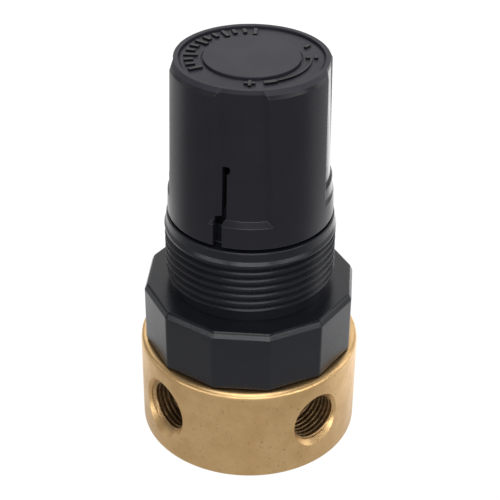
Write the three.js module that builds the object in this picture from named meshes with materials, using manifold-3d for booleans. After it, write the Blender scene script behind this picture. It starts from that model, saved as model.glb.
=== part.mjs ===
// A miniature air pressure regulator: a round brass body with four ports, a black plastic bonnet with a
// twelve-sided collar and a panel thread, and a push-to-lock knob. The knob turns a screw that moves a
// nut down on the regulating spring, and the spring pushes a diaphragm that opens a poppet valve.
//
// Millimetres, +Z up. The origin is the centre of the body's bottom face. The inlet port faces -X, the
// outlet +X, and the two gauge ports -Y and +Y.

import * as THREE from "three";
import { mergeVertices } from "three/addons/utils/BufferGeometryUtils.js";
import Module from "manifold-3d";

const wasm = await Module();
wasm.setup();

// ---- Driving dimensions ----

const GAP = 0.05; // left between faces that rest on each other
const ROUND = 48; // facets of a large turned piece
const SMALL = 24; // facets of a small turned piece
const HEXAGON = 6; // facets of a hexagonal piece or bore
const PAST = 1; // how far a cutter runs past the face it opens

const BODY_R = 20;
const BODY_TOP = 18.6;
const BODY_EDGE = 0.35; // break of the body's bottom edge
const BODY_TOP_EDGE = 0.8;
const NECK_R = 17; // thread that the bonnet screws onto
const NECK_TOP = 23;
const NECK_EDGE = 0.6;
const CHAMBER_R = 14.4; // outlet chamber under the diaphragm
const CHAMBER_FLOOR = 15.9;

const PORT_Z = 9.75;
const INLET_Z = 9.35;
const PORT_R = 4.35; // 1/8 in pipe thread, bored to its minor radius
const PORT_DEPTH = 9.2;
const INLET_ANGLE = 180; // degrees from +X
const OTHER_PORT_ANGLES = [-90, 0, 90];
const INLET_CHAMFER_R = 6.1;
const PORT_CHAMFER_R = 5.5;
const PASSAGE_R = 1.4;
const INLET_PASSAGE_Z = 7;
const RISER_AT = 12.6; // distance of the risers from the axis, from outlet and gauge ports to the chamber

const PLUG_BORE_R = 6.6;
const PLUG_R = 6.4;
const PLUG_BOTTOM = 0.5;
const PLUG_TOP = 5;
const PLUG_GROOVE = [3.2, 4.3];
const PLUG_GROOVE_R = 5.6;
const PLUG_SLOT = [1.6, 0.9]; // width and depth of the screwdriver slot
const PLUG_GUIDE_R = 1.85;
const PLUG_GUIDE_Z = 1.9;
const STEM_RING_POCKET = [2.75, 3.9]; // radius and floor of the pocket for the stem's O-ring
// The O-rings, each with the radius of its middle line, the radius of its section and its height.
const PLUG_O_RING = [6.08, 0.44, (PLUG_GROOVE[0] + PLUG_GROOVE[1]) / 2];
const STEM_RING_LIFT = 0.5; // height of the stem ring's middle over its pocket's floor
const STEM_O_RING = [2.22, 0.45, STEM_RING_POCKET[1] + STEM_RING_LIFT];
const O_RING_SIDES = 6;

const VALVE_CHAMBER_R = 5.9;
const VALVE_CHAMBER_TOP = 13.4;
const SEAT_R = 5.8;
const SEAT_BOTTOM = 10.6;
const SEAT_LIP_Z = 10.2;
const SEAT_LIP_R = 3.3;
const SEAT_BORE_R = 2.6;
const SEAT_GROOVE = [11.4, 12.5];
const SEAT_GROOVE_R = 4.9;
const SEAT_O_RING = [5.36, 0.44, (SEAT_GROOVE[0] + SEAT_GROOVE[1]) / 2];

const STEM_R = 1;
const STEM_TOP = 21.3;
const TAIL_R = 1.7; // lower end of the poppet, guided in the plug
const TAIL_BOTTOM = 3.1;
const POPPET_R = 4;
const POPPET_BOTTOM = 8;
const POPPET_TOP = 9.3;
const SEAL_TOP = 10.15;
const SEAL_R = 3.9;

const LOWER_PLATE_R = 9.5;
const LOWER_PLATE_BOTTOM = 21.4;
const RIVET_R = 2.2; // hollow rivet that joins the two plates through the diaphragm
const RELIEF_R = 0.6;
const DIAPHRAGM_R = 16.6;
const DIAPHRAGM_THICK = 0.8;
const ROLL = [10.2, 11.1, 12.4, 13.3]; // radii of the rolled convolution
const ROLL_DEPTH = 1.1;
const DIAPHRAGM_BOTTOM = NECK_TOP + GAP;
const DIAPHRAGM_TOP = DIAPHRAGM_BOTTOM + DIAPHRAGM_THICK;
const SLIP_RING_BORE_R = 13.8;
const SLIP_RING_THICK = 0.55;
const UPPER_PLATE_R = 9.6;
const UPPER_PLATE_THICK = 1.2;
const SPRING_BOSS_R = 6.6;
const SPRING_BOSS_RISE = 1.5;
const SPRING_BOSS_WALL = 1;
const RIVET_PROUD = 0.2; // height of the rivet above the upper plate

const THREAD_BORE_R = 17.25;
const COLLAR_R = 19.15; // across the corners of the twelve-sided collar
const COLLAR_SIDES = 12;
const COLLAR_TURN = 2.3; // degrees from +X to its first corner
const COLLAR_BOTTOM = 18.9;
const COLLAR_EDGE_Z = 29.55;
const COLLAR_TOP = 30.7;
const COLLAR_TOP_R = 18.65;
const PLATE_CAVITY_R = 13.6;
const PLATE_CAVITY_TOP = 28.5;
const PANEL_R = 15.1; // M30 x 1.5 panel thread
const PANEL_ROOT_R = 14.3;
const PANEL_PITCH = 1.5;
const PANEL_FIRST_CREST = 33.3;
const PANEL_LEAD_IN = 0.5; // height of the flank under the first crest
const PANEL_CRESTS = 7;
const PANEL_TOP = 42.85;
const BAND_R = 14.85; // plain band over the panel thread
const BAND_BOTTOM = 43.2;
const BONNET_TOP = 44.6;
const BONNET_TOP_R = 14.7;
const STEP_R = 12.3; // the knob's bead snaps over this step
const STEP_TOP = 48.2;
const TOWER_R = 11.2;
const TOWER_TOP = 57.4;
const ROOF_Z = 55.4; // underside of the roof that carries the screw
const ROOF_HOLE_R = 3.2;
const SPRING_CAVITY_R = 9.2;
const HEX_BORE_R = 10.4; // across the corners of the bore that keeps the nut from turning
const HEX_BORE_BOTTOM = 38;

const NUT_R = 10.05; // across the corners
const NUT_BOTTOM = 46;
const NUT_TOP = 50.5;
const NUT_BORE_R = 4.05;
const SCREW_LEAD = 0.6; // chamfer of the screw's lower end
const SCREW_R = 3.9; // M8 left-hand thread of 1.25 pitch
const SCREW_BOTTOM = 36;
const FLANGE_R = 6.2;
const FLANGE_BOTTOM = 53.4;
const FLANGE_TOP = 54.5;
const WASHER = [3.15, 6]; // inner and outer radius
const JOURNAL_R = 3;
const CLIP_BOTTOM = 57.7;
const CLIP_TOP = 58.5;
const CLIP = [2.4, 4.9]; // inner and outer radius
const CLIP_GROOVE_R = 2.3;
const CLIP_MOUTH = 3.4;
const JOURNAL_TOP = 59.2;
const DRIVE_R = 2.75; // across the corners of the hexagonal drive
const SCREW_TOP = 66.5;

const KNOB_BOTTOM = 45.15;
const KNOB_TOP = 73.67;
const KNOB_R = 14.5;
const KNOB_UPPER_R = 13.68;
const KNOB_CHAMFER_Z = 72.3;
const KNOB_FACE_R = 12.97;
const KNOB_TURN = -135.2; // degrees from +X to the middle of the first finger recess
const RECESSES = 4;
const RECESS_LOW = [13.7, 50.2]; // radius and height where the recess floor meets its lower ramp
const RECESS_RAMP = [16.5, 45.9]; // the ramp's line, carried on past the knob's surface
const RECESS_FACE_R = 12.87;
const RECESS_FLOOR_HALF = 18.75; // degrees to each side
const RECESS_OUTER_HALF = 22.5;
const WEDGE_REACH = 5; // how far the slant is carried on outwards, in lengths of the side wall
const PAD_R = 14.05; // raised pad at the foot of two of the recesses
const PAD_TOP = 52.3;
const SKIRT_BORE_R = 12.75;
const SKIRT_BORE_TOP = 51.6;
const BEAD_R = 12.42;
const BEAD_Z = [46.1, 46.5, 47, 47.4];
const SKIRT_SLOPE_RISE = 1; // height over which the skirt's bore narrows to the knob's
const KNOB_BORE_R = 11.75;
const KNOB_BORE_TOP = 70.8;
const HUB_R = 5;
const HUB_BOTTOM = 60;
const SOCKET_R = 3.05;
const SOCKET_TOP = 70;
const CHANNEL = [8.1, 12.1]; // inner and outer radius of the ring sunk into the knob's face
const CHANNEL_DEPTH = 0.4;
const SLIT_DEPTH = 4; // radial depth of the cutter, more than the wall
// Slit beside the finger recess: turn from the recess's middle in degrees, width, and heights.
const SLITS = [
  { turn: -15.5, width: 1.6, bottom: KNOB_BOTTOM - PAST, top: 50.2 },
  { turn: -11.5, width: 0.75, bottom: 50.1, top: 58.8 },
  { turn: -10.2, width: 1.3, bottom: 58.6, top: 60.1 },
];


const VALVE_SPRING = {
  radius: 3.1,
  wireRadius: 0.25,
  bottom: PLUG_TOP,
  top: POPPET_BOTTOM - GAP,
  coils: 4,
  sides: 5,
};
const REGULATING_SPRING = {
  radius: 7.8,
  wireRadius: 0.8,
  bottom: DIAPHRAGM_TOP + GAP + UPPER_PLATE_THICK + GAP,
  top: NUT_BOTTOM - GAP,
  coils: 7,
  sides: 6,
};
const STEPS_PER_COIL = 16;
const CLOSED_COIL_PITCH = 2.2; // in wire radii

// ---- Shapes ----

// A three.js geometry as a solid, with its shared vertices merged and its collapsed faces dropped.
function solidFrom(geometry) {
  const bare = new THREE.BufferGeometry();
  bare.setAttribute("position", geometry.getAttribute("position"));
  bare.setIndex(geometry.getIndex());
  const merged = mergeVertices(bare, 1e-4);
  const index = merged.index.array;
  const faces = [];
  for (let i = 0; i < index.length; i += 3) {
    const [a, b, c] = index.subarray(i, i + 3);
    if (a !== b && b !== c && c !== a) faces.push(a, b, c);
  }
  const triVerts = new Uint32Array(faces);
  const vertProperties = merged.attributes.position.array;
  return new wasm.Manifold(new wasm.Mesh({ numProp: 3, vertProperties, triVerts }));
}

// A solid turned about Z. The profile is [radius, height] pairs that close on themselves, anticlockwise
// with the radius to the right. With few facets it is a prism, with one corner towards -Y.
function turned(profile, facets = ROUND) {
  const points = [...profile, profile[0]].map(([r, z]) => new THREE.Vector2(r, z));
  return solidFrom(new THREE.LatheGeometry(points, facets).rotateX(Math.PI / 2));
}

function disc(radius, bottom, top, facets = ROUND) {
  return turned([[0, bottom], [radius, bottom], [radius, top], [0, top]], facets);
}

function ring([inner, outer], bottom, top, facets = ROUND) {
  return turned([[inner, bottom], [outer, bottom], [outer, top], [inner, top]], facets);
}

function oRing([middleRadius, sectionRadius, height]) {
  const geometry = new THREE.TorusGeometry(middleRadius, sectionRadius, O_RING_SIDES, SMALL);
  return solidFrom(geometry.translate(0, 0, height));
}

// A block that stands at a distance from the axis, in the direction of an angle in degrees.
function block(distance, angle, depth, width, bottom, top) {
  const geometry = new THREE.BoxGeometry(depth, width, top - bottom);
  geometry.translate(distance, 0, (bottom + top) / 2);
  return solidFrom(geometry.rotateZ(THREE.MathUtils.degToRad(angle)));
}

// The centre line of a compression spring. Its first and last coils climb by a little over one wire.
class SpringLine extends THREE.Curve {
  constructor(radius, bottom, top, coils, closedPitch) {
    super();
    Object.assign(this, { radius, bottom, top, coils, closedPitch });
  }

  getPoint(t, target = new THREE.Vector3()) {
    const turn = t * this.coils;
    const open = this.coils - 2;
    const openRise = this.top - this.bottom - 2 * this.closedPitch;
    const closedTurns = Math.min(turn, 1) + Math.max(turn - 1 - open, 0);
    const openTurns = THREE.MathUtils.clamp(turn - 1, 0, open);
    const height = this.bottom + this.closedPitch * closedTurns + (openRise * openTurns) / open;
    const angle = turn * 2 * Math.PI;
    return target.set(this.radius * Math.cos(angle), this.radius * Math.sin(angle), height);
  }
}

function coilSpring({ radius, wireRadius, bottom, top, coils, sides }) {
  const closedPitch = CLOSED_COIL_PITCH * wireRadius;
  const line = new SpringLine(radius, bottom + wireRadius, top - wireRadius, coils, closedPitch);
  const section = new THREE.Shape();
  for (let i = 0; i < sides; i += 1) {
    const angle = (i * 2 * Math.PI) / sides;
    const corner = [wireRadius * Math.cos(angle), wireRadius * Math.sin(angle)];
    if (i === 0) section.moveTo(...corner);
    else section.lineTo(...corner);
  }
  section.closePath();
  const steps = coils * STEPS_PER_COIL;
  return solidFrom(new THREE.ExtrudeGeometry(section, { steps, extrudePath: line }));
}

// ---- Body and valve ----

// A port's bore, drilled towards the axis from the direction of an angle in degrees.
function portCutter(chamferRadius, height, angle) {
  const chamferDepth = chamferRadius - PORT_R;
  const bore = turned(
    [
      [0, BODY_R - PORT_DEPTH],
      [PORT_R, BODY_R - PORT_DEPTH],
      [PORT_R, BODY_R - chamferDepth],
      [chamferRadius + PAST, BODY_R + PAST],
      [0, BODY_R + PAST],
    ],
    SMALL,
  );
  return bore.rotate([0, 90, 0]).translate([0, 0, height]).rotate([0, 0, angle]);
}

function makeBody() {
  const outside = turned([
    [0, 0],
    [BODY_R - BODY_EDGE, 0],
    [BODY_R, BODY_EDGE],
    [BODY_R, BODY_TOP - BODY_TOP_EDGE],
    [BODY_R - BODY_TOP_EDGE, BODY_TOP],
    [NECK_R, BODY_TOP],
    [NECK_R, NECK_TOP - NECK_EDGE],
    [NECK_R - NECK_EDGE, NECK_TOP],
    [0, NECK_TOP],
  ]);
  const chamber = disc(CHAMBER_R, CHAMBER_FLOOR, NECK_TOP + PAST);
  const valveBore = turned(
    [
      [0, -PAST],
      [PLUG_BORE_R, -PAST],
      [PLUG_BORE_R, PLUG_TOP],
      [VALVE_CHAMBER_R, PLUG_TOP],
      [VALVE_CHAMBER_R, VALVE_CHAMBER_TOP],
      [SEAT_BORE_R, VALVE_CHAMBER_TOP],
      [SEAT_BORE_R, CHAMBER_FLOOR + PAST],
      [0, CHAMBER_FLOOR + PAST],
    ],
    SMALL,
  );
  let body = outside.subtract(chamber).subtract(valveBore);

  body = body.subtract(portCutter(INLET_CHAMFER_R, INLET_Z, INLET_ANGLE));
  const inletPassage = disc(PASSAGE_R, VALVE_CHAMBER_R - PAST, BODY_R - PORT_DEPTH + PAST, SMALL);
  const laid = inletPassage.rotate([0, -90, 0]).translate([0, 0, INLET_PASSAGE_Z]);
  body = body.subtract(laid);

  for (const angle of OTHER_PORT_ANGLES) {
    const riser = disc(PASSAGE_R, PORT_Z, CHAMBER_FLOOR + PAST, SMALL).translate([RISER_AT, 0, 0]);
    body = body.subtract(portCutter(PORT_CHAMFER_R, PORT_Z, angle));
    body = body.subtract(riser.rotate([0, 0, angle]));
  }
  return body;
}

function makeBottomPlug() {
  const plug = turned(
    [
      [0, PLUG_BOTTOM],
      [PLUG_R, PLUG_BOTTOM],
      [PLUG_R, PLUG_GROOVE[0]],
      [PLUG_GROOVE_R, PLUG_GROOVE[0]],
      [PLUG_GROOVE_R, PLUG_GROOVE[1]],
      [PLUG_R, PLUG_GROOVE[1]],
      [PLUG_R, PLUG_TOP - GAP],
      [STEM_RING_POCKET[0], PLUG_TOP - GAP],
      [STEM_RING_POCKET[0], STEM_RING_POCKET[1]],
      [PLUG_GUIDE_R, STEM_RING_POCKET[1]],
      [PLUG_GUIDE_R, PLUG_GUIDE_Z],
      [0, PLUG_GUIDE_Z],
    ],
    SMALL,
  );
  const [slotWidth, slotDepth] = PLUG_SLOT;
  const slotLength = 3 * PLUG_R;
  return plug.subtract(block(0, 0, slotLength, slotWidth, PLUG_BOTTOM - PAST, PLUG_BOTTOM + slotDepth));
}

function makeValveSeat() {
  return turned(
    [
      [SEAT_BORE_R, SEAT_LIP_Z],
      [SEAT_LIP_R, SEAT_LIP_Z],
      [SEAT_LIP_R, SEAT_BOTTOM],
      [SEAT_R, SEAT_BOTTOM],
      [SEAT_R, SEAT_GROOVE[0]],
      [SEAT_GROOVE_R, SEAT_GROOVE[0]],
      [SEAT_GROOVE_R, SEAT_GROOVE[1]],
      [SEAT_R, SEAT_GROOVE[1]],
      [SEAT_R, VALVE_CHAMBER_TOP - GAP],
      [SEAT_BORE_R, VALVE_CHAMBER_TOP - GAP],
    ],
    SMALL,
  );
}

function makePoppet() {
  return turned(
    [
      [0, TAIL_BOTTOM],
      [TAIL_R, TAIL_BOTTOM],
      [TAIL_R, POPPET_BOTTOM],
      [POPPET_R, POPPET_BOTTOM],
      [POPPET_R, POPPET_TOP],
      [STEM_R, POPPET_TOP],
      [STEM_R, STEM_TOP],
      [0, STEM_TOP],
    ],
    SMALL,
  );
}

// ---- Diaphragm ----

function makeLowerPlate() {
  const rivetTop = DIAPHRAGM_TOP + GAP + UPPER_PLATE_THICK + RIVET_PROUD;
  return turned([
    [RELIEF_R, LOWER_PLATE_BOTTOM],
    [LOWER_PLATE_R, LOWER_PLATE_BOTTOM],
    [LOWER_PLATE_R, NECK_TOP],
    [RIVET_R, NECK_TOP],
    [RIVET_R, rivetTop],
    [RELIEF_R, rivetTop],
  ]);
}

function makeDiaphragm() {
  const [rollIn, rollLow, rollHigh, rollOut] = ROLL;
  const inset = DIAPHRAGM_THICK / 2;
  return turned(
    [
      [RIVET_R + GAP, DIAPHRAGM_BOTTOM],
      [rollIn, DIAPHRAGM_BOTTOM],
      [rollLow, DIAPHRAGM_BOTTOM - ROLL_DEPTH],
      [rollHigh, DIAPHRAGM_BOTTOM - ROLL_DEPTH],
      [rollOut, DIAPHRAGM_BOTTOM],
      [DIAPHRAGM_R, DIAPHRAGM_BOTTOM],
      [DIAPHRAGM_R, DIAPHRAGM_TOP],
      [rollOut - inset, DIAPHRAGM_TOP],
      [rollHigh - inset, DIAPHRAGM_TOP - ROLL_DEPTH],
      [rollLow + inset, DIAPHRAGM_TOP - ROLL_DEPTH],
      [rollIn + inset, DIAPHRAGM_TOP],
      [RIVET_R + GAP, DIAPHRAGM_TOP],
    ],
    SMALL,
  );
}

function makeUpperPlate() {
  const bottom = DIAPHRAGM_TOP + GAP;
  const top = bottom + UPPER_PLATE_THICK;
  return turned([
    [RIVET_R + GAP, bottom],
    [UPPER_PLATE_R, bottom],
    [UPPER_PLATE_R, top],
    [SPRING_BOSS_R, top],
    [SPRING_BOSS_R, top + SPRING_BOSS_RISE],
    [SPRING_BOSS_R - SPRING_BOSS_WALL, top + SPRING_BOSS_RISE],
    [SPRING_BOSS_R - SPRING_BOSS_WALL, top],
    [RIVET_R + GAP, top],
  ]);
}

// ---- Bonnet ----

// The outside of the bonnet above its collar: panel thread as rings, top band, snap step and tower.
function bonnetOutside() {
  const profile = [
    [0, COLLAR_BOTTOM + PAST],
    [PANEL_ROOT_R, COLLAR_BOTTOM + PAST],
  ];
  for (let i = 0; i < PANEL_CRESTS; i += 1) {
    const crest = PANEL_FIRST_CREST + i * PANEL_PITCH;
    const flank = i === 0 ? PANEL_LEAD_IN : PANEL_PITCH / 2;
    profile.push([PANEL_ROOT_R, crest - flank]);
    profile.push([PANEL_R, crest]);
  }
  profile.push(
    [PANEL_R, PANEL_TOP],
    [BAND_R, BAND_BOTTOM],
    [BONNET_TOP_R, BONNET_TOP],
    [STEP_R, BONNET_TOP],
    [STEP_R, STEP_TOP],
    [TOWER_R, STEP_TOP],
    [TOWER_R, TOWER_TOP],
    [0, TOWER_TOP],
  );
  return turned(profile);
}

function makeBonnet() {
  const collar = turned(
    [
      [0, COLLAR_BOTTOM],
      [COLLAR_R, COLLAR_BOTTOM],
      [COLLAR_R, COLLAR_EDGE_Z],
      [COLLAR_TOP_R, COLLAR_TOP],
      [0, COLLAR_TOP],
    ],
    COLLAR_SIDES,
  ).rotate([0, 0, COLLAR_TURN]);
  const shoulder = DIAPHRAGM_TOP + GAP + SLIP_RING_THICK + GAP;
  const cavity = turned([
    [0, COLLAR_BOTTOM - PAST],
    [THREAD_BORE_R, COLLAR_BOTTOM - PAST],
    [THREAD_BORE_R, shoulder],
    [PLATE_CAVITY_R, shoulder],
    [PLATE_CAVITY_R, PLATE_CAVITY_TOP],
    [SPRING_CAVITY_R, PLATE_CAVITY_TOP],
    [SPRING_CAVITY_R, ROOF_Z],
    [ROOF_HOLE_R, ROOF_Z],
    [ROOF_HOLE_R, TOWER_TOP + PAST],
    [0, TOWER_TOP + PAST],
  ]);
  const hexBore = disc(HEX_BORE_R, HEX_BORE_BOTTOM, ROOF_Z, HEXAGON);
  return collar.add(bonnetOutside()).subtract(cavity).subtract(hexBore);
}

// ---- Screw, nut and knob ----

function makeScrew() {
  const shaft = turned(
    [
      [0, SCREW_BOTTOM],
      [SCREW_R - SCREW_LEAD, SCREW_BOTTOM],
      [SCREW_R, SCREW_BOTTOM + SCREW_LEAD],
      [SCREW_R, FLANGE_BOTTOM],
      [FLANGE_R, FLANGE_BOTTOM],
      [FLANGE_R, FLANGE_TOP],
      [JOURNAL_R, FLANGE_TOP],
      [JOURNAL_R, CLIP_BOTTOM - GAP],
      [CLIP_GROOVE_R, CLIP_BOTTOM - GAP],
      [CLIP_GROOVE_R, CLIP_TOP + GAP],
      [JOURNAL_R, CLIP_TOP + GAP],
      [JOURNAL_R, JOURNAL_TOP],
      [0, JOURNAL_TOP],
    ],
    SMALL,
  );
  return shaft.add(disc(DRIVE_R, JOURNAL_TOP - GAP, SCREW_TOP, HEXAGON));
}

function makeSpringNut() {
  const bore = disc(NUT_BORE_R, NUT_BOTTOM - PAST, NUT_TOP + PAST, SMALL);
  return disc(NUT_R, NUT_BOTTOM, NUT_TOP, HEXAGON).subtract(bore);
}

function makeClip() {
  const [inner, outer] = CLIP;
  const reach = inner + outer;
  const mouth = block(reach / 2, 0, reach, CLIP_MOUTH, CLIP_BOTTOM - PAST, CLIP_TOP + PAST);
  return ring([inner, outer], CLIP_BOTTOM, CLIP_TOP, SMALL).subtract(mouth);
}

// The wedge that a finger recess lies in, facing +X. Its sides slant outwards.
function recessWedge(bottom, top) {
  const corner = (radius, degrees) => {
    const angle = THREE.MathUtils.degToRad(degrees);
    return new THREE.Vector2(radius * Math.cos(angle), radius * Math.sin(angle));
  };
  const floor = corner(RECESS_LOW[0], RECESS_FLOOR_HALF);
  const rim = corner(KNOB_R, RECESS_OUTER_HALF);
  const beyond = floor.clone().lerp(rim, WEDGE_REACH);
  const outline = new THREE.Shape([
    new THREE.Vector2(floor.x, -floor.y),
    new THREE.Vector2(beyond.x, -beyond.y),
    beyond,
    floor,
  ]);
  const wedge = new THREE.ExtrudeGeometry(outline, { depth: top - bottom, bevelEnabled: false });
  return solidFrom(wedge.translate(0, 0, bottom));
}

// The space that a finger recess takes out of the knob, facing +X. With a pad, its foot is shallower.
function recessCutter(padded) {
  const top = KNOB_TOP + PAST;
  const [floorRadius, floorHeight] = RECESS_LOW;
  const [rampRadius, rampHeight] = RECESS_RAMP;
  const blank = turned([
    [floorRadius, floorHeight],
    [rampRadius, rampHeight],
    [rampRadius, top],
    [RECESS_FACE_R, top],
  ]);
  const recess = recessWedge(BONNET_TOP, top + PAST).intersect(blank);
  return padded ? recess.subtract(disc(PAD_R, BONNET_TOP, PAD_TOP)) : recess;
}

function makeKnob() {
  const outside = turned([
    [0, KNOB_BOTTOM],
    [KNOB_R, KNOB_BOTTOM],
    [KNOB_UPPER_R, KNOB_CHAMFER_Z],
    [KNOB_FACE_R, KNOB_TOP],
    [0, KNOB_TOP],
  ]);
  const [beadFoot, beadLow, beadHigh, beadHead] = BEAD_Z;
  const bore = turned([
    [0, KNOB_BOTTOM - PAST],
    [SKIRT_BORE_R, KNOB_BOTTOM - PAST],
    [SKIRT_BORE_R, beadFoot],
    [BEAD_R, beadLow],
    [BEAD_R, beadHigh],
    [SKIRT_BORE_R, beadHead],
    [SKIRT_BORE_R, SKIRT_BORE_TOP],
    [KNOB_BORE_R, SKIRT_BORE_TOP + SKIRT_SLOPE_RISE],
    [KNOB_BORE_R, KNOB_BORE_TOP],
    [HUB_R, KNOB_BORE_TOP],
    [HUB_R, HUB_BOTTOM],
    [0, HUB_BOTTOM],
  ]);
  const channel = ring(CHANNEL, KNOB_TOP - CHANNEL_DEPTH, KNOB_TOP + PAST);
  const socket = disc(SOCKET_R, HUB_BOTTOM - PAST, SOCKET_TOP, HEXAGON);
  let knob = outside.subtract(bore).subtract(channel).subtract(socket);

  const wallMiddle = (KNOB_R + KNOB_BORE_R) / 2;
  for (let i = 0; i < RECESSES; i += 1) {
    const angle = KNOB_TURN + (i * 360) / RECESSES;
    const padded = i % 2 === 1;
    knob = knob.subtract(recessCutter(padded).rotate([0, 0, angle]));
    for (const { turn, width, bottom, top } of padded ? [] : SLITS) {
      knob = knob.subtract(block(wallMiddle, angle + turn, SLIT_DEPTH, width, bottom, top));
    }
  }
  return knob;
}

// ---- Assembly ----

const FINISHES = {
  brass: { color: 0xb08d57, roughness: 0.38, metalness: 1 },
  steel: { color: 0xa8a9ad, roughness: 0.35, metalness: 1 },
  zincPlate: { color: 0xc4c6c8, roughness: 0.4, metalness: 1 },
  knobPlastic: { color: 0x26262c, roughness: 0.42, metalness: 0 },
  bonnetPlastic: { color: 0x2a2a2f, roughness: 0.48, metalness: 0 },
  acetal: { color: 0xe8e4d8, roughness: 0.45, metalness: 0 },
  nitrile: { color: 0x1a1a1a, roughness: 0.7, metalness: 0 },
};

const group = new THREE.Group();

function addPiece(name, solid, finish) {
  const { numProp, vertProperties, triVerts } = solid.getMesh();
  const positions = new THREE.InterleavedBufferAttribute(
    new THREE.InterleavedBuffer(vertProperties, numProp),
    3,
    0,
  );
  const geometry = new THREE.BufferGeometry();
  geometry.setAttribute("position", positions);
  geometry.setIndex(new THREE.BufferAttribute(triVerts, 1));
  const mesh = new THREE.Mesh(geometry, new THREE.MeshStandardMaterial(finish));
  mesh.name = name;
  group.add(mesh);
}

addPiece("body", makeBody(), FINISHES.brass);
addPiece("bottom_plug", makeBottomPlug(), FINISHES.brass);
addPiece("bottom_plug_o_ring", oRing(PLUG_O_RING), FINISHES.nitrile);
addPiece("valve_stem_o_ring", oRing(STEM_O_RING), FINISHES.nitrile);
addPiece("valve_spring", coilSpring(VALVE_SPRING), FINISHES.steel);
addPiece("valve_poppet", makePoppet(), FINISHES.brass);
const valveSeal = ring([STEM_R + GAP, SEAL_R], POPPET_TOP + GAP, SEAL_TOP, SMALL);
addPiece("valve_seal", valveSeal, FINISHES.nitrile);
addPiece("valve_seat", makeValveSeat(), FINISHES.acetal);
addPiece("valve_seat_o_ring", oRing(SEAT_O_RING), FINISHES.nitrile);
addPiece("diaphragm_lower_plate", makeLowerPlate(), FINISHES.brass);
addPiece("diaphragm", makeDiaphragm(), FINISHES.nitrile);
addPiece("diaphragm_upper_plate", makeUpperPlate(), FINISHES.zincPlate);
const slipRingBottom = DIAPHRAGM_TOP + GAP;
const slipRingTop = slipRingBottom + SLIP_RING_THICK;
addPiece("slip_ring", ring([SLIP_RING_BORE_R, DIAPHRAGM_R], slipRingBottom, slipRingTop), FINISHES.acetal);
addPiece("bonnet", makeBonnet(), FINISHES.bonnetPlastic);
addPiece("regulating_spring", coilSpring(REGULATING_SPRING), FINISHES.steel);
addPiece("spring_nut", makeSpringNut(), FINISHES.brass);
addPiece("adjusting_screw", makeScrew(), FINISHES.zincPlate);
addPiece("thrust_washer", ring(WASHER, FLANGE_TOP + GAP, ROOF_Z - GAP, SMALL), FINISHES.steel);
addPiece("retaining_clip", makeClip(), FINISHES.steel);
addPiece("knob", makeKnob(), FINISHES.knobPlastic);

export default group;
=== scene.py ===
"""The looks of a miniature air pressure regulator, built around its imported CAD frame."""

import math

import bpy
import numpy as np
from mathutils import Matrix, Vector


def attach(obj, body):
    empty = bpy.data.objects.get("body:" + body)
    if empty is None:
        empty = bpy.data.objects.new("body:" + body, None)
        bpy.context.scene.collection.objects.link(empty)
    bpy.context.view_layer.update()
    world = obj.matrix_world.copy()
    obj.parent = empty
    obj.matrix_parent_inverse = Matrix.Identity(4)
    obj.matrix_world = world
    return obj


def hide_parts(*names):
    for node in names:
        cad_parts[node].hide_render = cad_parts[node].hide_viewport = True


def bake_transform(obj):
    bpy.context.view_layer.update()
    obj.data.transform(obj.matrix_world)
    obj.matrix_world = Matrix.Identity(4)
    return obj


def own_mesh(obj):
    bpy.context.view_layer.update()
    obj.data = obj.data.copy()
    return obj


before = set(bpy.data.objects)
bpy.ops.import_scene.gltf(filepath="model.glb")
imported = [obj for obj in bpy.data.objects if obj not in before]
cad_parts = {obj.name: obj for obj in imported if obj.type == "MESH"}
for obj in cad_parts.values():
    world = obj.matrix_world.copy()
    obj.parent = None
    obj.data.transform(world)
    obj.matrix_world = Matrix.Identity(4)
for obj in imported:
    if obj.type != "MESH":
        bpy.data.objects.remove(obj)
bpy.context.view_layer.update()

MM = 0.001
TAU = 2 * math.pi

# ---- Driving dimensions, in millimetres, as in the CAD model ----

BODY_R = 20
BODY_TOP = 18.6
NECK_R = 17
NECK_TOP = 23
CHAMBER_R = 14.4
CHAMBER_FLOOR = 15.9
PLUG_BORE_R = 6.6
PLUG_TOP = 5
VALVE_CHAMBER_R = 5.9
VALVE_CHAMBER_TOP = 13.4
SEAT_BORE_R = 2.6

PORT_Z = 9.75
INLET_Z = 9.35
PORT_R = 4.35
PORT_MAJOR_R = 4.88
PORT_TAPER = 0.03
PORT_PITCH = 0.907
PORT_DEPTH = 9.2
PORT_CHAMFER_R = 5.5
INLET_CHAMFER_R = 6.1
PASSAGE_R = 1.4
INLET_PASSAGE_Z = 7
RISER_AT = 12.6

COLLAR_R = 19.15
COLLAR_TOP_R = 18.65
COLLAR_SIDES = 12
COLLAR_TURN = 2.3
COLLAR_BOTTOM = 18.9
COLLAR_EDGE_Z = 29.55
COLLAR_TOP = 30.7
THREAD_BORE_R = 17.25
SHOULDER = 24.5
PLATE_CAVITY_R = 13.6
PLATE_CAVITY_TOP = 28.5
PANEL_R = 15.1
PANEL_ROOT_R = 14.3
PANEL_PITCH = 1.5
PANEL_LAST_CREST = 42.1
PANEL_TOP = 42.3
BAND_R = 14.84
BAND_BOTTOM = 42.95
BONNET_TOP = 44.6
BONNET_TOP_R = 14.7
STEP_R = 12.3
STEP_TOP = 48.2
TOWER_R = 11.2
TOWER_TOP = 57.4
ROOF_Z = 55.4
ROOF_HOLE_R = 3.2
SPRING_CAVITY_R = 9.2
HEX_BORE_R = 10.4
HEX_BORE_BOTTOM = 38

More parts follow.
